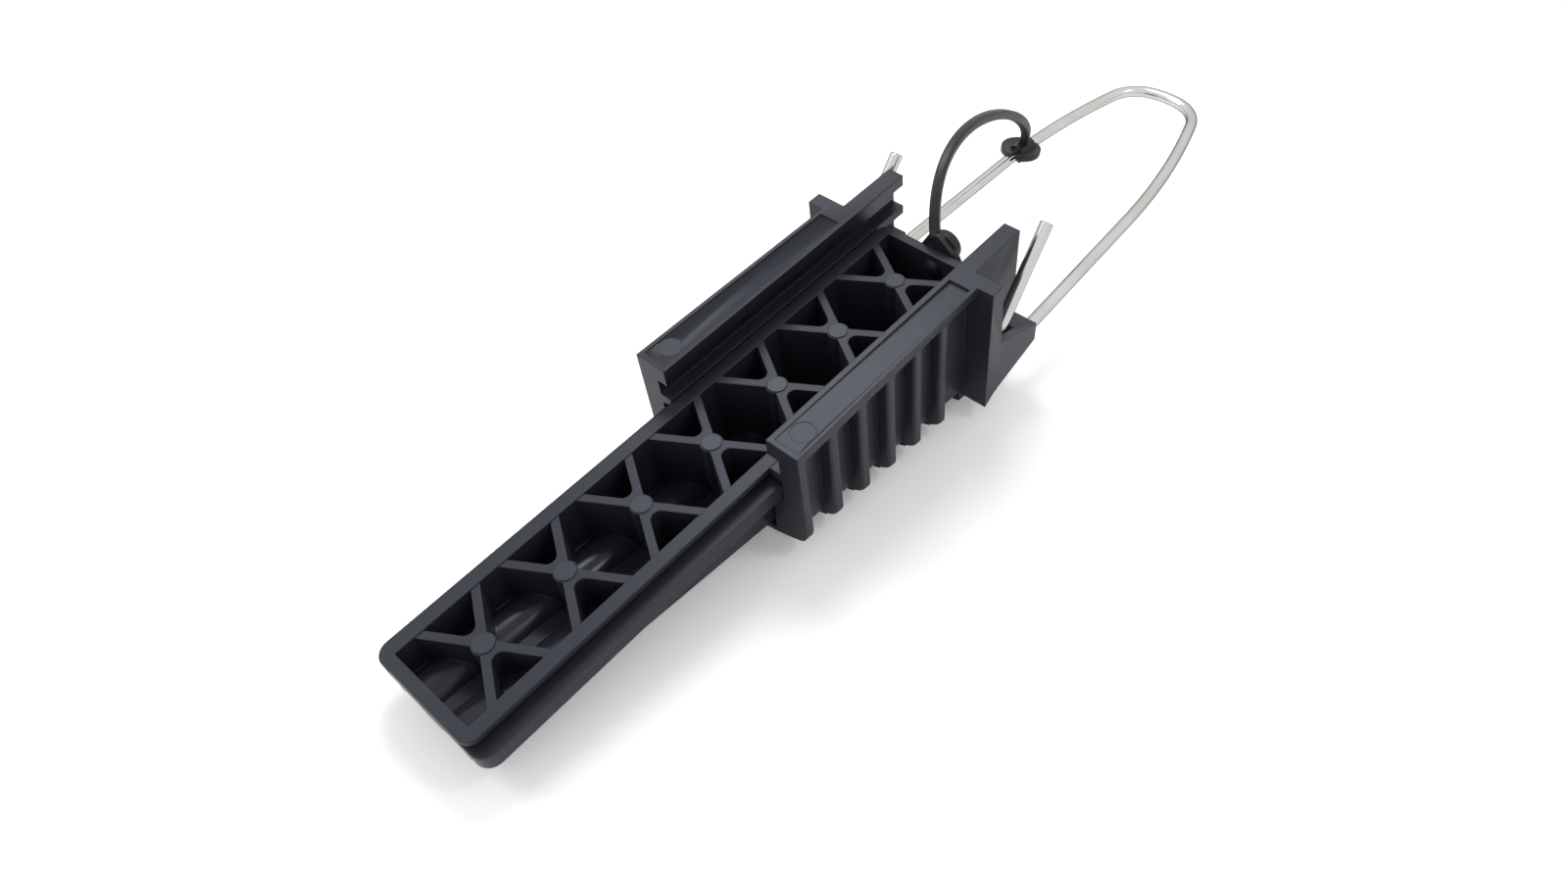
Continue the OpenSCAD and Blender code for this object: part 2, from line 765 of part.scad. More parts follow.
// The clip: a dished disc over a saddle that is open below, so that it snaps onto the wire
module clip() {
    dish_radius = (pow(clip_diameter / 2, 2) + pow(clip_dish, 2)) / (2 * clip_dish);
    difference() {
        union() {
            on_disc() translate([0, 0, -clip_thickness / 2])
                cylinder(h = clip_thickness, d = clip_diameter);
            translate([-saddle_length / 2, 0, 0]) rotate([0, 90, 0])
                cylinder(h = saddle_length, r = saddle_radius);
        }
        on_disc() {
            translate([0, 0, clip_thickness / 2 - clip_dish + dish_radius])
                sphere(dish_radius, $fn = 128);
            clip_notch();
        }
        translate([-clip_diameter, 0, 0]) rotate([0, 90, 0])
            cylinder(h = 2 * clip_diameter, r = wire_radius + clip_slack);
        translate([-clip_diameter, -wire_radius / 2, -2 * saddle_radius])
            cube([2 * clip_diameter, wire_radius, 2 * saddle_radius]);
    }
}

// The notch in the disc's front, beside the wire
module clip_notch() {
    reach = clip_diameter - strap_size;
    translate([-strap_size / 2, -wire_radius, -clip_thickness]) linear_extrude(2 * clip_thickness)
        polygon([[0, 0], [-reach, notch_width], [-reach, -notch_width]]);
}

module tether() {
    color(rubber) on_rails() {
        strap();
        tether_root();
        translate(clip_place) rotate([0, 0, -clip_heading]) clip();
    }
}

housing();
wedge();
bail();
tether();
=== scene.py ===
import math

import bmesh
import bpy
from mathutils import Matrix, Vector


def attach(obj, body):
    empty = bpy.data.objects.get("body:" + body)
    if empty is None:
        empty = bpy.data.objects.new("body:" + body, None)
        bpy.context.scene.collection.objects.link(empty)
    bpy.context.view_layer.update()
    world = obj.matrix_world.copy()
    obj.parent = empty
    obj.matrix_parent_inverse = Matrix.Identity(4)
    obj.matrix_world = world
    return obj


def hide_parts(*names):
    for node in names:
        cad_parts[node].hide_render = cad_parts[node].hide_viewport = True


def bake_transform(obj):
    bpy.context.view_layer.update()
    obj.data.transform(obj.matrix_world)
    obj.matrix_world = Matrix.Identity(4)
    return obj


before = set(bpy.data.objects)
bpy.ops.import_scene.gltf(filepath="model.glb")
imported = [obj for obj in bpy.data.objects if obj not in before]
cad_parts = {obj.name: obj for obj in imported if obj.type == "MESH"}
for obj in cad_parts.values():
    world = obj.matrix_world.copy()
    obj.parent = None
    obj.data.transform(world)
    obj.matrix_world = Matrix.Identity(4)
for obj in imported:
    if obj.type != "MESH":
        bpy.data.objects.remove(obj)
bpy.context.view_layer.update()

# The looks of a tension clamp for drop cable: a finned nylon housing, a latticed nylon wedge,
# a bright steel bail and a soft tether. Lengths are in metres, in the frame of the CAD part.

MM = 0.001

# Camera, fitted to the edges in the photograph

CAMERA_PLACE = Vector((-184.8, -156.8, 248.4)) * MM
CAMERA_FORWARD = Vector((0.5074, 0.4728, -0.7204))
CAMERA_UP = Vector((0.534, 0.4835, 0.6935))
LENS = 25.49
SENSOR = 36.0

# The rails' frame, in which the wedge, the bail and the tether are laid out

TILT = math.radians(7)
RAILS = Matrix.Translation((-43.91 * MM, 0, 44.17 * MM)) @ Matrix.Rotation(-TILT, 4, "Y")
RAILS_BACK = RAILS.inverted()

# Distances below which vertices are one, on the CAD meshes and on the joined solids

CAD_MERGE = 0.001 * MM
SOLID_MERGE = 0.002 * MM
WIRE_MERGE = 0.01 * MM

# Housing: half widths of its shell and of its outer faces, the length along which it has fins,
# the height of the band above them, and the level at which the outer faces are parted

SHELL_HALF = 25.4 * MM
OUTER_HALF = 29 * MM
FINS_START = 0.5 * MM
FINS_END = 65 * MM
BAND_HEIGHT = 2.9 * MM
FIN_CUT = -4 * MM
FIN_ROUND = 1.1 * MM
FIN_STEPS = 4
FLAT_ANGLE = math.radians(0.5)
SQUARE_ANGLES = (math.radians(60), math.radians(120))

# The ejector marks on the strips, whose floors are raised until they just show

MARK_PLACE = Vector((8.0, 24.75)) * MM
MARK_RADIUS = 3.7 * MM
MARK_FLOOR = (-0.60 * MM, -0.40 * MM)
MARK_LIFT = 0.15 * MM

# Wire of the bail, along the rails, and the steps of its bends

WIRE_RADIUS = 2.05 * MM
WIRE_SIDES = 32
LOOP_DEPTH = 41 * MM
PIVOT_X = 85 * MM
HOOK_BEND = 3 * MM
STUB_ANGLE = math.radians(49.5)
STUB_LENGTH = 46 * MM
LEG_LENGTH = 85.3 * MM
LEG_LEAN = math.radians(2)
BAIL_HALF = 29.1 * MM
SIDE_RADIUS = 238 * MM
SIDE_TURN = math.radians(14.5)
CORNER_RADIUS = 14 * MM
CORNER_TURN = math.radians(63.5)
BAIL_CHAMFER = 0.35 * MM
HOOK_STEPS = 18
SIDE_STEPS = 24
CORNER_STEPS = 20
NOSE_STEPS = 8

# Wedge: the bosses of its lattice and the disc on each. RAILS_START is the distance along the
# rails from their own origin to the point beside the origin of the part.

FIRST_BOSS = -82.2 * MM
RAILS_START = 38.2 * MM
BOSS_PITCH = 26.38 * MM
BOSS_COUNT = 7
BOSS_TOP = -12.7 * MM
BOSS_RADIUS = 3.0 * MM
DISC_RADIUS = 2.95 * MM
DISC_HEIGHT = 0.3 * MM
DISC_EDGE = 0.1 * MM
DISC_SUNK = 0.5 * MM

# Tether, from the wedge's rear wall to the clip on the bail

STRAP_HANDLES = [
    Vector(place) * MM
    for place in (
        (95.3, -0.4, -8.9), (112.63, 17.8, 30.09), (181.95, 16.35, -16.75), (181.95, 25.44, -38.41)
    )
]
STRAP_SIZE = 3.2 * MM
STRAP_ROUND = 0.8 * MM
STRAP_STEPS = 48
BEND_START = 0.03
BEND_END = 0.97
SOFT_EDGE = 0.35 * MM
SOFT_EDGE_STEPS = 3
ROOT_PLACE = Vector((95.3, -2.5, -17.4)) * MM
ROOT_RADIUS = 8 * MM
ROOT_THICKNESS = 2.4 * MM
BUTTON_RADIUS = 5.25 * MM
BUTTON_THICKNESS = 3.4 * MM
BUTTON_RISE = 4.5 * MM
BUTTON_SUNK = 0.3 * MM
STUD_RADIUS = 2 * MM
STUD_REACH = 3.2 * MM
STUD_SUNK = 0.5 * MM
HEAD_RADIUS = 3.2 * MM
HEAD_THICKNESS = 1.2 * MM
CLIP_PLACE = Vector((181.2, 25.40, -41.0)) * MM
CLIP_HEADING = math.radians(4.77)
CLIP_RADIUS = 7.3 * MM
CLIP_THICKNESS = 2.4 * MM
CLIP_LIFT = 0.8 * MM
CLIP_LEAN = math.radians(10)
CLIP_DISH = 0.7 * MM
CLIP_RIM = 0.8 * MM
CLIP_SLACK = 0.15 * MM
NOTCH_SPREAD = 2.6 * MM
JAW_WALL = 1.3 * MM
JAW_FRONT = 2.5 * MM
JAW_REAR = 5 * MM


def cubic(handles, t):
    """The point at t on a curve with four handles."""
    a, b, c, d = handles
    s = 1 - t
    return a * s**3 + b * (3 * s * s * t) + c * (3 * s * t * t) + d * t**3


def cubic_slope(handles, t):
    """The curve's direction at t."""
    a, b, c, d = handles
    s = 1 - t
    return ((b - a) * s * s + (c - b) * (2 * s * t) + (d - c) * t * t).normalized()


# Shader maths


class Value:
    """A socket of a node, with the arithmetic that the finishes use."""

    def __init__(self, finish, socket):
        self.finish = finish
        self.socket = socket

    def maths(self, operation, *values):
        inputs = dict(enumerate(values))
        return self.finish.add("ShaderNodeMath", inputs, operation=operation)

    def __add__(self, other):
        return self.maths("ADD", self, other)

    def __radd__(self, other):
        return self.maths("ADD", other, self)

    def __sub__(self, other):
        return self.maths("SUBTRACT", self, other)

    def __rsub__(self, other):
        return self.maths("SUBTRACT", other, self)

    def __mul__(self, other):
        return self.maths("MULTIPLY", self, other)

    def __rmul__(self, other):
        return self.maths("MULTIPLY", other, self)

    def __truediv__(self, other):
        return self.maths("DIVIDE", self, other)

    def __pow__(self, other):
        return self.maths("POWER", self, other)


class Finish:
    """A material or world and its nodes. add() makes any node from its type and inputs."""

    def __init__(self, name, tree=None, **constants):
        if tree is None:
            self.material = bpy.data.materials.new(name)
            self.material.use_nodes = True
            tree = self.material.node_tree
        self.tree = tree
        self.shader = tree.nodes.get("Principled BSDF")
        for socket, value in constants.items():
            self.shader.inputs[socket.replace("_", " ")].default_value = value

    def plug(self, socket, value):
        if isinstance(value, Value):
            self.tree.links.new(value.socket, socket)
        else:
            socket.default_value = value

    def add(self, kind, inputs=None, output=0, stops=None, **settings):
        node = self.tree.nodes.new(kind)
        for name, value in settings.items():
            setattr(node, name, value)
        if stops:
            elements = node.color_ramp.elements
            while len(elements) < len(stops):
                elements.new(1)
            for element, (place, colour) in zip(elements, stops):
                element.position = place
                element.color = colour
        for name, value in (inputs or {}).items():
            self.plug(node.inputs[name], value)
        return Value(self, node.outputs[output])

    def drive(self, **values):
        """Links what changes over the surface to the shader."""
        for socket, value in values.items():
            self.plug(self.shader.inputs[socket.replace("_", " ")], value)

    def place(self):
        """The place on the piece, in metres."""
        return self.add("ShaderNodeTexCoord", output="Object")

    def noise(self, scale, detail=2, place=None, stretch=None, roughness=0.5):
        place = place or self.place()
        if stretch:
            place = self.add("ShaderNodeMapping", {"Vector": place, "Scale": stretch})
        return self.add(
            "ShaderNodeTexNoise",
            {"Vector": place, "Scale": scale, "Detail": detail, "Roughness": roughness},
        )

    def ramp(self, value, low, high, at_low=0.0, at_high=1.0):
        """A smooth step from one value to another between two levels."""
        return self.add(
            "ShaderNodeMapRange",
            {"Value": value, 1: low, 2: high, 3: at_low, 4: at_high},
            interpolation_type="SMOOTHSTEP",
        )

    def blend(self, share, first, second):
        """Mixes two colours."""
        return self.add(
            "ShaderNodeMix", {0: share, 6: first, 7: second}, output=2, data_type="RGBA"
        )

    def axis(self, name):
        return self.add("ShaderNodeSeparateXYZ", {"Vector": self.place()}, output=name)

    def bump(self, height, strength, distance, normal=None):
        inputs = {"Height": height, "Strength": strength, "Distance": distance}
        if normal:
            inputs["Normal"] = normal
        return self.add("ShaderNodeBump", inputs)

    def soft_edges(self, radius):
        """Normals that round the moulded edges."""
        return self.add("ShaderNodeBevel", {"Radius": radius}, samples=6)


# Finishes


COOL_SHEEN = (0.86, 0.91, 1.0, 1)
NYLON_DARK = (0.015, 0.016, 0.023, 1)
NYLON_LIGHT = (0.024, 0.025, 0.034, 1)
NYLON_BOSS = (0.030, 0.031, 0.041, 1)
STEEL_DARK = (0.50, 0.50, 0.46, 1)
STEEL_LIGHT = (0.72, 0.73, 0.73, 1)
# The steel's near-black edge tint paints shade along the wire's edges, as if dark surroundings were
# reflected there
STEEL_EDGE_PAINTED_SHADE = (0.04, 0.04, 0.05, 1)
SOFT_DARK = (0.011, 0.011, 0.014, 1)
SOFT_LIGHT = (0.018, 0.018, 0.022, 1)
FLOOR_WHITE = (0.93, 0.93, 0.93, 1)
BLACK = (0, 0, 0, 1)
WHITE = (1, 1, 1, 1)

# Heights between which the wedge's nylon goes from polished to satin, and the soft edge of a boss

POLISH_LOW = 12 * MM
POLISH_HIGH = 16 * MM
BOSS_FADE = 0.25 * MM

NYLON_EDGE = 0.45 * MM
TETHER_EDGE = 0.3 * MM


def moulded_nylon(name):
    """Dark nylon with a cool sheen: its finish, colour, flow marks and satin normal."""
    nylon = Finish(name, Specular_IOR_Level=0.27, Specular_Tint=COOL_SHEEN)
    flow = nylon.noise(38, detail=4, stretch=(0.35, 1.0, 1.0))
    grain = nylon.noise(5200, detail=2)
    colour = nylon.blend(flow, NYLON_DARK, NYLON_LIGHT)
    edges = nylon.soft_edges(NYLON_EDGE)
    satin = nylon.bump(grain, 0.10, 0.00005, edges)
    return nylon, colour, flow, nylon.bump(flow, 0.15, 0.0002, satin)


def nylon_finish():
    """The housing's nylon, rubbed smoother in places."""
    nylon, colour, flow, normal = moulded_nylon("moulded_nylon")
    scuffs = nylon.noise(420, detail=3, stretch=(1.0, 0.22, 0.6))
    rub = nylon.ramp(scuffs, 0.60, 0.78)
    roughness = 0.35 + flow * 0.10 - rub * 0.07
    nylon.drive(Base_Color=colour, Roughness=roughness, Normal=normal)
    return nylon.material


def wedge_finish():
    """The same nylon, with a polished floor under the lattice and paler bosses."""
    nylon, colour, flow, normal = moulded_nylon("wedge_nylon")
    polish = nylon.ramp(nylon.axis("Z"), POLISH_LOW, POLISH_HIGH, 1.0, 0.0)
    along = nylon.axis("X") * math.cos(TILT) + nylon.axis("Z") * math.sin(TILT)
    steps = (along - (FIRST_BOSS - RAILS_START)) / BOSS_PITCH + 0.5
    off_boss = (steps.maths("FRACT", steps) - 0.5) * BOSS_PITCH
    across = nylon.axis("Y")
    distance = (off_boss * off_boss + across * across) ** 0.5
    boss = nylon.ramp(distance, BOSS_RADIUS - BOSS_FADE, BOSS_RADIUS, 1.0, 0.0)
    roughness = 0.40 + flow * 0.08 - polish * 0.22 - boss * 0.04
    paler = nylon.blend(boss, colour, NYLON_BOSS)
    nylon.drive(Base_Color=paler, Roughness=roughness, Normal=normal)
    return nylon.material


def wire_finish():
    """Drawn steel wire, with painted shade along its edges from a near-black edge tint, and faint
    lines along its length.
    """
    steel = Finish("drawn_steel", Metallic=1.0, Specular_Tint=STEEL_EDGE_PAINTED_SHADE)
    stain = steel.noise(55, detail=4)
    draw = steel.noise(3000, detail=2, stretch=(0.03, 1.0, 1.0))
    colour = steel.blend(stain, STEEL_DARK, STEEL_LIGHT)
    steel.drive(
        Base_Color=colour,
        Roughness=0.12 + stain * 0.10,
        Normal=steel.bump(draw, 0.12, 0.00005),
    )
    return steel.material


def tether_finish():
    """Soft dark plastic, smoother than the nylon."""
    soft = Finish("soft_plastic", Specular_IOR_Level=0.28)
    mottle = soft.noise(160, detail=3)
    grain = soft.noise(4200, detail=2)
    colour = soft.blend(mottle, SOFT_DARK, SOFT_LIGHT)
    edges = soft.soft_edges(TETHER_EDGE)
    soft.drive(
        Base_Color=colour,
        Roughness=0.36 + mottle * 0.1,
        Normal=soft.bump(grain, 0.08, 0.00004, edges),
    )
    return soft.material


# Mesh tools


def finish_piece(bm, name, material, smooth_angle=35, outwards=True):
    """Turns a bmesh into a piece with its place in its mesh."""
    if outwards:
        bmesh.ops.recalc_face_normals(bm, faces=bm.faces)
    mesh = bpy.data.meshes.new(name)
    bm.to_mesh(mesh)
    bm.free()
    mesh.shade_smooth()
    mesh.set_sharp_from_angle(angle=math.radians(smooth_angle))
    mesh.materials.append(material)
    piece = bpy.data.objects.new(name, mesh)
    bpy.context.scene.collection.objects.link(piece)
    return piece


def edges_of(geometry):
    return [part for part in geometry if isinstance(part, bmesh.types.BMEdge)]


def verts_of(geometry):
    return [part for part in geometry if isinstance(part, bmesh.types.BMVert)]


def whole(bm):
    """All the geometry of a bmesh, as its operators take it."""
    return bm.verts[:] + bm.edges[:] + bm.faces[:]


def frame_at(place, along, up):
    """A matrix whose z runs along a path and whose x is square to it and to up."""
    along = along.normalized()
    across = up.cross(along).normalized()
    turn = Matrix((across, along.cross(across), along)).transposed()
    return Matrix.Translation(place) @ turn.to_4x4()


# Housing


def is_fin_edge(edge):
    """Whether an edge of the housing bounds the outer face of a fin, below the top band."""
    first, second = (RAILS_BACK @ vert.co for vert in edge.verts)
    middle = (first + second) / 2
    upright = abs(first.x - second.x) < 0.1 * MM
    square = SQUARE_ANGLES[0] < edge.calc_face_angle(0) < SQUARE_ANGLES[1]
    beside_shell = abs(middle.y) > SHELL_HALF + 0.1 * MM
    along_fins = FINS_START < middle.x < FINS_END
    below_band = middle.z < -BAND_HEIGHT
    return upright and square and edge.is_convex and beside_shell and along_fins and below_band


def raise_marks(bm):
    """Raises the floors of the two ejector marks."""
    for vert in bm.verts:
        place = RAILS_BACK @ vert.co
        off_mark = math.hypot(place.x - MARK_PLACE.x, abs(place.y) - MARK_PLACE.y)
        if off_mark < MARK_RADIUS and MARK_FLOOR[0] < place.z < MARK_FLOOR[1]:
            vert.co = RAILS @ (place + Vector((0, 0, MARK_LIFT)))


def part_outer_faces(bm):
    """Parts each comb-shaped outer face below the band, so that every fin has a face of its own."""
    outer = [
        face for face in bm.faces
        if abs(face.normal.y) > 0.99 and abs(face.calc_center_median().y) > OUTER_HALF
    ]
    parts = {part for face in outer for part in (*face.verts, *face.edges, face)}
    bmesh.ops.bisect_plane(
        bm, geom=list(parts), dist=0.005 * MM,
        plane_co=RAILS @ Vector((0, 0, FIN_CUT)), plane_no=RAILS.to_3x3() @ Vector((0, 0, 1)),
    )


def housing_mesh():
    """A merged copy of the CAD housing, with the outer edges of its fins rounded."""
    bm = bmesh.new()
    bm.from_mesh(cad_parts["housing"].data)
    bmesh.ops.remove_doubles(bm, verts=bm.verts, dist=CAD_MERGE)
    bmesh.ops.dissolve_limit(bm, angle_limit=FLAT_ANGLE, verts=bm.verts, edges=bm.edges)
    bm.normal_update()
    raise_marks(bm)
    part_outer_faces(bm)
    bm.normal_update()
    edges = [edge for edge in bm.edges if edge.is_manifold and is_fin_edge(edge)]
    bmesh.ops.bevel(
        bm, geom=edges, offset=FIN_ROUND, segments=FIN_STEPS, profile=0.5, affect="EDGES",
        clamp_overlap=False,
    )
    return bm


# Bail


def bail_mesh():
    """The wire, spun and drawn out from one free end round to the nose, then mirrored."""
    bm = bmesh.new()
    lean = Vector((math.cos(LEG_LEAN), -math.sin(LEG_LEAN), 0))
    side = Vector((math.sin(LEG_LEAN), math.cos(LEG_LEAN), 0))
    up = Vector((0, 0, 1))
    pivot = Vector((PIVOT_X, BAIL_HALF, HOOK_BEND - LOOP_DEPTH))

    def in_leg_plane(x, z):
        return lean * x + up * z

    stub = in_leg_plane(math.cos(STUB_ANGLE), math.sin(STUB_ANGLE))
    top = pivot + in_leg_plane(-math.sin(STUB_ANGLE), math.cos(STUB_ANGLE)) * HOOK_BEND
    end = top + stub * STUB_LENGTH
    ring = bmesh.ops.create_circle(
        bm, cap_ends=True, segments=WIRE_SIDES, radius=WIRE_RADIUS - BAIL_CHAMFER,
        matrix=frame_at(end, -stub, side),
    )
    edges = list({edge for vert in ring["verts"] for edge in vert.link_edges})

    def draw_out(edges, offset, spread=None):
        grown = bmesh.ops.extrude_edge_only(bm, edges=edges)["geom"]
        verts = verts_of(grown)
        bmesh.ops.translate(bm, verts=verts, vec=offset)
        if spread:
            middle = sum((vert.co for vert in verts), Vector()) / len(verts)
            for vert in verts:
                vert.co = middle + (vert.co - middle) * spread
        return edges_of(grown)

    def turn(edges, centre, axis, angle, steps):
        spun = bmesh.ops.spin(
            bm, geom=edges, cent=centre, axis=axis, angle=angle, steps=steps,
            use_duplicate=False,
        )
        return edges_of(spun["geom_last"])

    edges = draw_out(edges, -stub * BAIL_CHAMFER, WIRE_RADIUS / (WIRE_RADIUS - BAIL_CHAMFER))
    edges = draw_out(edges, -stub * (STUB_LENGTH - BAIL_CHAMFER))
    edges = turn(edges, pivot, side, STUB_ANGLE - math.pi, HOOK_STEPS)
    edges = draw_out(edges, lean * LEG_LENGTH)
    heading = LEG_LEAN
    middle = pivot - up * HOOK_BEND + lean * LEG_LENGTH
    nose_start = LEG_LEAN + SIDE_TURN + CORNER_TURN
    for radius, angle, steps in (
        (SIDE_RADIUS, SIDE_TURN, SIDE_STEPS),
        (CORNER_RADIUS, CORNER_TURN, CORNER_STEPS),
        (None, math.pi / 2 - nose_start, NOSE_STEPS),
    ):
        inwards = Vector((-math.sin(heading), -math.cos(heading), 0))
        if radius is None:
            radius = middle.y / math.cos(heading)
        centre = middle + inwards * radius
        edges = turn(edges, centre, up, -angle, steps)
        middle = centre + Matrix.Rotation(-angle, 3, "Z") @ (middle - centre)
        heading += angle
    for vert in {vert for edge in edges for vert in edge.verts}:
        vert.co.y = 0
    bmesh.ops.mirror(bm, geom=whole(bm), axis="Y", merge_dist=WIRE_MERGE)
    bmesh.ops.remove_doubles(bm, verts=bm.verts, dist=WIRE_MERGE)
    bmesh.ops.transform(bm, matrix=RAILS, verts=bm.verts)
    return bm


# Solids that are joined and cut


def prism(outline, plane, start, end, bevel=0.0):
    """A prism from an outline. plane places a point of the outline at a distance along the axis."""
    bm = bmesh.new()
    face = bm.faces.new([bm.verts.new(plane(a, b, start)) for a, b in outline])
    grown = bmesh.ops.extrude_face_region(bm, geom=[face])["geom"]
    bmesh.ops.translate(bm, verts=verts_of(grown), vec=plane(0, 0, end) - plane(0, 0, start))
    bmesh.ops.recalc_face_normals(bm, faces=bm.faces)
    if bevel:
        caps = [face for face in bm.faces if len(face.verts) == len(outline)]
        rims = list({edge for cap in caps for edge in cap.edges})
        bmesh.ops.bevel(
            bm, geom=rims, offset=bevel, segments=SOFT_EDGE_STEPS, profile=0.5, affect="EDGES"
        )
    return bm


def along_x(a, b, distance):
    return Vector((distance, a, b))


def along_z(a, b, distance):
    return Vector((a, b, distance))


def lathe(profile, segments=48):
    """A solid of revolution round z, from radii and heights."""
    bm = bmesh.new()
    verts = [bm.verts.new((radius, 0, height)) for radius, height in profile]
    edges = [bm.edges.new(pair) for pair in zip(verts, verts[1:])]
    bmesh.ops.spin(
        bm, geom=verts + edges, cent=(0, 0, 0), axis=(0, 0, 1), angle=math.tau,
        steps=segments, use_merge=True,
    )
    bmesh.ops.remove_doubles(bm, verts=bm.verts, dist=CAD_MERGE)
    bmesh.ops.recalc_face_normals(bm, faces=bm.faces)
    return bm


def arc(radius, start, end, steps, centre=(0.0, 0.0)):
    """Points of an arc, with angles in degrees."""
    turns = [math.radians(start + (end - start) * i / steps) for i in range(steps + 1)]
    return [(centre[0] + radius * math.cos(t), centre[1] + radius * math.sin(t)) for t in turns]


def placed(bm, matrix):
    bmesh.ops.transform(bm, matrix=matrix, verts=bm.verts)
    return bm


def carrier(bm):
    """A throwaway object that holds a bmesh."""
    mesh = bpy.data.meshes.new("carrier")
    bm.to_mesh(mesh)
    bm.free()
    holder = bpy.data.objects.new("carrier", mesh)
    bpy.context.scene.collection.objects.link(holder)
    return holder


def combine(first, others, operation="UNION"):
    """The exact union or difference of closed solids."""
    holders = [carrier(bm) for bm in [first] + others]
    for other in holders[1:]:
        modifier = holders[0].modifiers.new("combine", "BOOLEAN")
        modifier.operation = operation
        modifier.solver = "EXACT"
        modifier.object = other
    result = holders[0].evaluated_get(bpy.context.evaluated_depsgraph_get())
    bm = bmesh.new()
    bm.from_mesh(result.data)
    for holder in holders:
        mesh = holder.data
        bpy.data.objects.remove(holder)
        bpy.data.meshes.remove(mesh)
    bmesh.ops.remove_doubles(bm, verts=bm.verts, dist=SOLID_MERGE)
    return bm


# Wedge


def boss_discs():
    """A low disc on each boss of the lattice, sunk into it from below."""
    bm = bmesh.new()
    for i in range(BOSS_COUNT):
        disc = lathe([
            (0, -DISC_SUNK), (DISC_RADIUS, -DISC_SUNK), (DISC_RADIUS, DISC_HEIGHT - DISC_EDGE),
            (DISC_RADIUS - DISC_EDGE, DISC_HEIGHT), (0, DISC_HEIGHT),
        ])
        place = Vector((FIRST_BOSS + BOSS_PITCH * i, 0, BOSS_TOP))
        placed(disc, RAILS @ Matrix.Translation(place))
        mesh = bpy.data.meshes.new("disc")
        disc.to_mesh(mesh)
        disc.free()
        bm.from_mesh(mesh)
        bpy.data.meshes.remove(mesh)
    return bm


# Tether


def strap_solid():
    """The strap: a square with rounded corners, swept along the curve."""
    bm = bmesh.new()
    start, end = STRAP_HANDLES[0], STRAP_HANDLES[3]
    across = Vector((0, 0, 1)).cross(end - start).normalized()
    flat = STRAP_SIZE / 2 - STRAP_ROUND
    section = [
        point
        for turn, centre in ((0, (flat, flat)), (90, (-flat, flat)), (180, (-flat, -flat)),
                             (270, (flat, -flat)))
        for point in arc(STRAP_ROUND, turn, turn + 90, 3, centre)
    ]
    rings = []
    for step in range(STRAP_STEPS + 1):
        t = step / STRAP_STEPS
        along = cubic_slope(STRAP_HANDLES, t)
        up = along.cross(across).normalized()
        side = up.cross(along)
        place = cubic(STRAP_HANDLES, t)
        rings.append([bm.verts.new(place + side * a + up * b) for a, b in section])
    for near, far in zip(rings, rings[1:]):
        for i in range(len(section)):
            j = (i + 1) % len(section)
            bm.faces.new((near[i], near[j], far[j], far[i]))
    bm.faces.new(rings[0])
    bm.faces.new(rings[-1])
    bmesh.ops.recalc_face_normals(bm, faces=bm.faces)
    return bm


def root_solids():
    """The root disc that tapers into the strap, its button, and the stud through the wall."""
    foot = STRAP_HANDLES[0] - ROOT_PLACE
    rise = foot.z + STRAP_SIZE / 2
    lean = math.atan2(foot.y, rise)
    reach = math.hypot(foot.y, rise)
    grip = math.degrees(math.acos((ROOT_RADIUS - STRAP_SIZE / 2) / reach))
    outline = [(-STRAP_SIZE / 2, reach)]
    outline += arc(ROOT_RADIUS, 90 + grip, 450 - grip, 36)
    outline += [(STRAP_SIZE / 2, reach)]
    front = ROOT_PLACE.x - ROOT_THICKNESS / 2
    rear = ROOT_PLACE.x + ROOT_THICKNESS / 2
    at_root = Matrix.Translation((0, ROOT_PLACE.y, ROOT_PLACE.z))
    disc = prism(outline, along_x, front, rear, bevel=SOFT_EDGE)
    placed(disc, at_root @ Matrix.Rotation(-lean, 4, "X"))
    round_edge = BUTTON_THICKNESS / 2
    button = lathe(
        [(0, -BUTTON_SUNK), (BUTTON_RADIUS, -BUTTON_SUNK)]
        + arc(round_edge, 0, 90, 6, (BUTTON_RADIUS - round_edge, BUTTON_THICKNESS - round_edge))
        + [(0, BUTTON_THICKNESS)]
    )
    to_rear = Matrix.Rotation(math.pi / 2, 4, "Y")
    placed(button, Matrix.Translation((rear, ROOT_PLACE.y, ROOT_PLACE.z + BUTTON_RISE)) @ to_rear)
    stud = lathe([
        (0, -STUD_REACH - HEAD_THICKNESS), (STUD_RADIUS, -STUD_REACH - HEAD_THICKNESS),
        (HEAD_RADIUS, -STUD_REACH), (STUD_RADIUS, -STUD_REACH), (STUD_RADIUS, STUD_SUNK),
        (0, STUD_SUNK),
    ])
    placed(stud, Matrix.Translation((front, ROOT_PLACE.y, ROOT_PLACE.z)) @ to_rear)
    return [disc, button, stud]


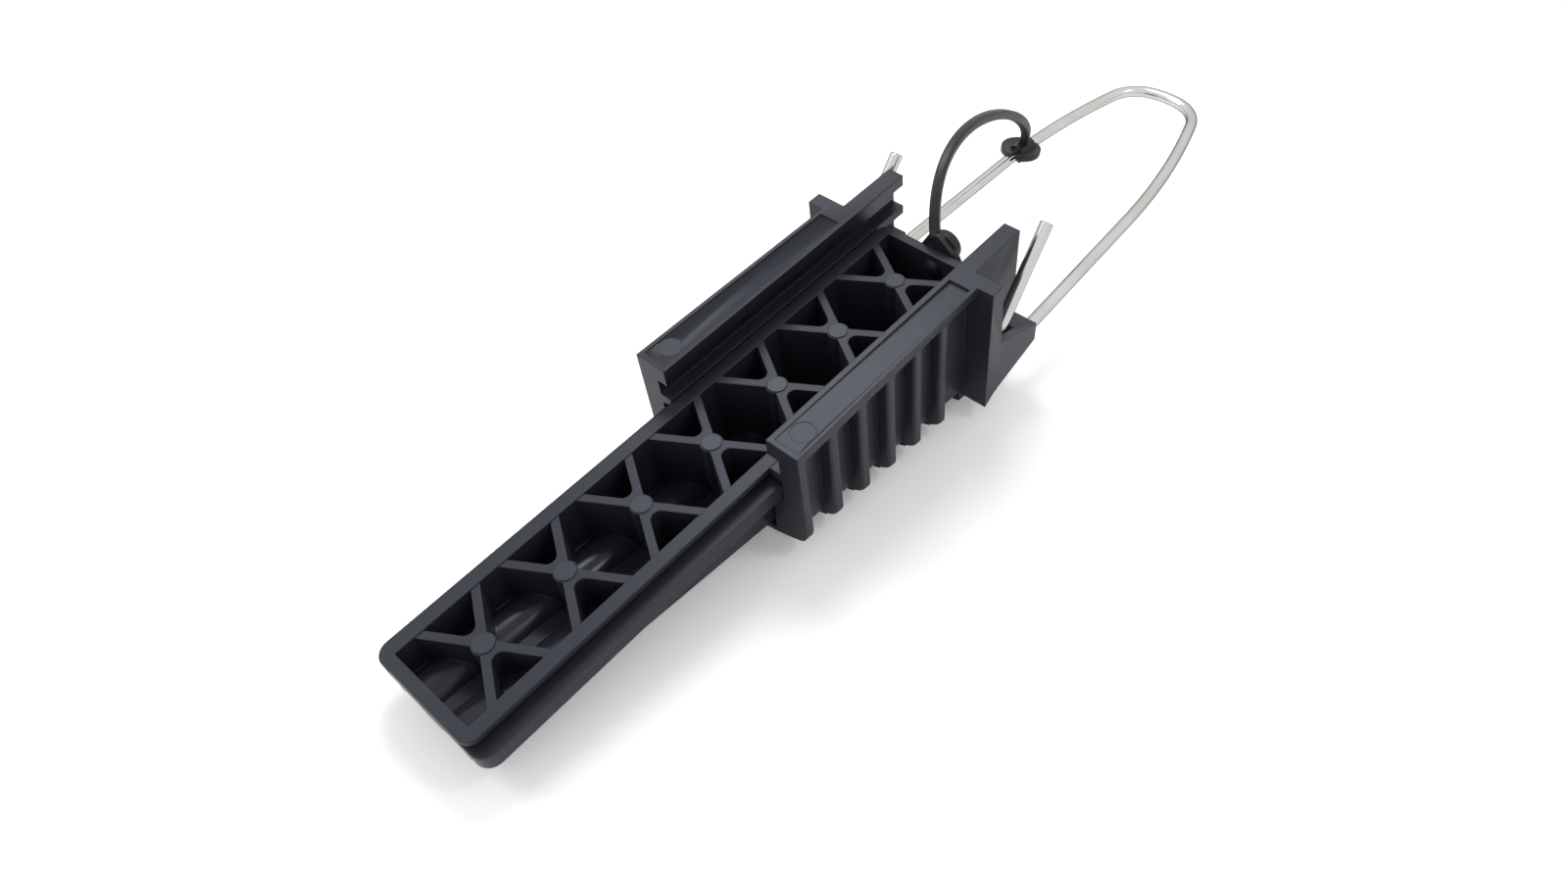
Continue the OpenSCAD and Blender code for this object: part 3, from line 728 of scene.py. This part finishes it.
def clip_solid():
    """A dished disc with a notch, round a saddle that holds the wire."""
    half, edge = CLIP_THICKNESS / 2, SOFT_EDGE
    dish = CLIP_RADIUS - CLIP_RIM
    steps = [i / 8 for i in range(9)]
    disc = lathe(
        [(dish * t, half - CLIP_DISH * (1 - t * t)) for t in steps]
        + arc(edge, 90, 0, SOFT_EDGE_STEPS, (CLIP_RADIUS - edge, half - edge))
        + arc(edge, 0, -90, SOFT_EDGE_STEPS, (CLIP_RADIUS - edge, edge - half))
        + [(0, -half)],
        64,
    )
    on_disc = Matrix.Rotation(CLIP_LEAN, 4, "Y") @ Matrix.Translation((0, 0, CLIP_LIFT))
    placed(disc, on_disc)
    bore = WIRE_RADIUS + CLIP_SLACK
    outer = bore + JAW_WALL
    slit = WIRE_RADIUS / 2

    def slit_edge(radius):
        return math.degrees(math.asin(slit / radius)) - 90

    jaws = prism(
        arc(outer, slit_edge(outer), 180 - slit_edge(outer), 30)
        + arc(bore, 180 - slit_edge(bore), slit_edge(bore), 30),
        along_x, -JAW_FRONT, JAW_REAR,
    )
    reach = 2 * CLIP_RADIUS
    hole = placed(
        lathe([(0, -reach), (bore, -reach), (bore, reach), (0, reach)]),
        Matrix.Rotation(math.pi / 2, 4, "Y"),
    )
    notch = prism(
        [(0, 0), (-reach, NOTCH_SPREAD), (-reach, -NOTCH_SPREAD)], along_z,
        -2 * CLIP_THICKNESS, 2 * CLIP_THICKNESS,
    )
    placed(notch, on_disc @ Matrix.Translation((-STRAP_SIZE / 2, -WIRE_RADIUS, 0)))
    solid = combine(disc, [notch], "DIFFERENCE")
    solid = combine(combine(solid, [jaws]), [hole], "DIFFERENCE")
    return placed(solid, Matrix.Translation(CLIP_PLACE) @ Matrix.Rotation(-CLIP_HEADING, 4, "Z"))


def tether_halves():
    """The tether's front and rear halves, cut square to the strap in its middle."""
    tether = combine(strap_solid(), root_solids() + [clip_solid()])
    halves = []
    for front in (True, False):
        bm = tether.copy()
        bmesh.ops.bisect_plane(
            bm, geom=whole(bm), dist=CAD_MERGE,
            plane_co=cubic(STRAP_HANDLES, 0.5), plane_no=cubic_slope(STRAP_HANDLES, 0.5),
            clear_outer=front, clear_inner=not front,
        )
        rim = [edge for edge in bm.edges if edge.is_boundary]
        bmesh.ops.contextual_create(bm, geom=rim)
        halves.append(placed(bm, RAILS))
    tether.free()
    return halves


# Pieces

nylon = nylon_finish()
wedge_nylon = wedge_finish()
steel = wire_finish()
soft_plastic = tether_finish()

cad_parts["wedge"].data.materials.clear()
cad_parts["wedge"].data.materials.append(wedge_nylon)
discs = finish_piece(boss_discs(), "boss_discs", wedge_nylon)
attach(discs, "wedge")

housing = finish_piece(housing_mesh(), "housing_moulding", nylon)
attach(housing, "housing")
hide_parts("housing")

bail = finish_piece(bail_mesh(), "bail_wire", steel)
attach(bail, "bail")
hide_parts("bail")

# The two halves of the tether meet in the strap's middle

strap_middle = RAILS @ cubic(STRAP_HANDLES, 0.5)
front_half, rear_half = tether_halves()
root = finish_piece(front_half, "tether_root", soft_plastic, 50)
RAILS @ cubic(STRAP_HANDLES, BEND_START)
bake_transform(root)
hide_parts("tether")
clip = finish_piece(rear_half, "tether_clip", soft_plastic, 50)
RAILS @ cubic(STRAP_HANDLES, BEND_END)
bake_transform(clip)
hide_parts("tether")

# Floor, world, lamps and camera

FLOOR_GLOW = 0.15
FLOOR_HALF = 6.0
WORLD_LIGHT = 0.74

floor = Finish(
    "studio_floor", Base_Color=FLOOR_WHITE, Roughness=0.9, Specular_IOR_Level=0.1,
    Emission_Strength=FLOOR_GLOW,
)
looks = floor.add("ShaderNodeLightPath", output="Is Camera Ray")
floor.drive(Emission_Color=floor.blend(looks, BLACK, WHITE))
plane = bmesh.new()
bmesh.ops.create_grid(plane, x_segments=1, y_segments=1, size=FLOOR_HALF)
ground = bpy.data.meshes.new("floor")
plane.to_mesh(ground)
plane.free()
ground.materials.append(floor.material)
ground_object = bpy.data.objects.new("floor", ground)
bpy.context.scene.collection.objects.link(ground_object)

world = bpy.data.worlds.new("studio")
bpy.context.scene.world = world
world.use_nodes = True
sky = Finish("studio", tree=world.node_tree)
rays = [sky.add("ShaderNodeLightPath", output=kind) for kind in
        ("Is Camera Ray", "Is Glossy Ray", "Is Transmission Ray")]
seen = rays[0].maths("MAXIMUM", rays[0], rays[1].maths("MAXIMUM", rays[1], rays[2]))
background = world.node_tree.nodes["Background"]
background.inputs["Color"].default_value = WHITE
sky.plug(background.inputs["Strength"], WORLD_LIGHT + seen * (1 - WORLD_LIGHT))


def area_lamp(name, place, target, size, power):
    """A round lamp that faces its target, in metres and watts."""
    lamp = bpy.data.lights.new(name, "AREA")
    lamp.shape = "DISK"
    lamp.size = size
    lamp.energy = power
    holder = bpy.data.objects.new(name, lamp)
    holder.location = place
    holder.rotation_euler = (Vector(target) - Vector(place)).to_track_quat("-Z", "Y").to_euler()
    bpy.context.scene.collection.objects.link(holder)


area_lamp("overhead", (0.13, 0.18, 0.45), (0, 0, 0.03), 0.24, 1.1)
area_lamp("left", (-0.35, 0.55, 0.5), (-0.05, 0, 0.02), 0.35, 1.6)
area_lamp("side", (0.10, -0.28, 0.45), (-0.1, 0, 0.02), 0.12, 0.35)

camera = bpy.data.cameras.new("camera")
camera.lens = LENS
camera.sensor_width = SENSOR
camera.clip_start = 0.01
camera.clip_end = 100
viewer = bpy.data.objects.new("camera", camera)
right = CAMERA_FORWARD.cross(CAMERA_UP).normalized()
up = right.cross(CAMERA_FORWARD).normalized()
turn = Matrix((right, up, -CAMERA_FORWARD.normalized())).transposed().to_4x4()
viewer.matrix_world = Matrix.Translation(CAMERA_PLACE) @ turn
bpy.context.scene.collection.objects.link(viewer)
bpy.context.scene.camera = viewer
bpy.context.scene.view_settings.view_transform = "Standard"
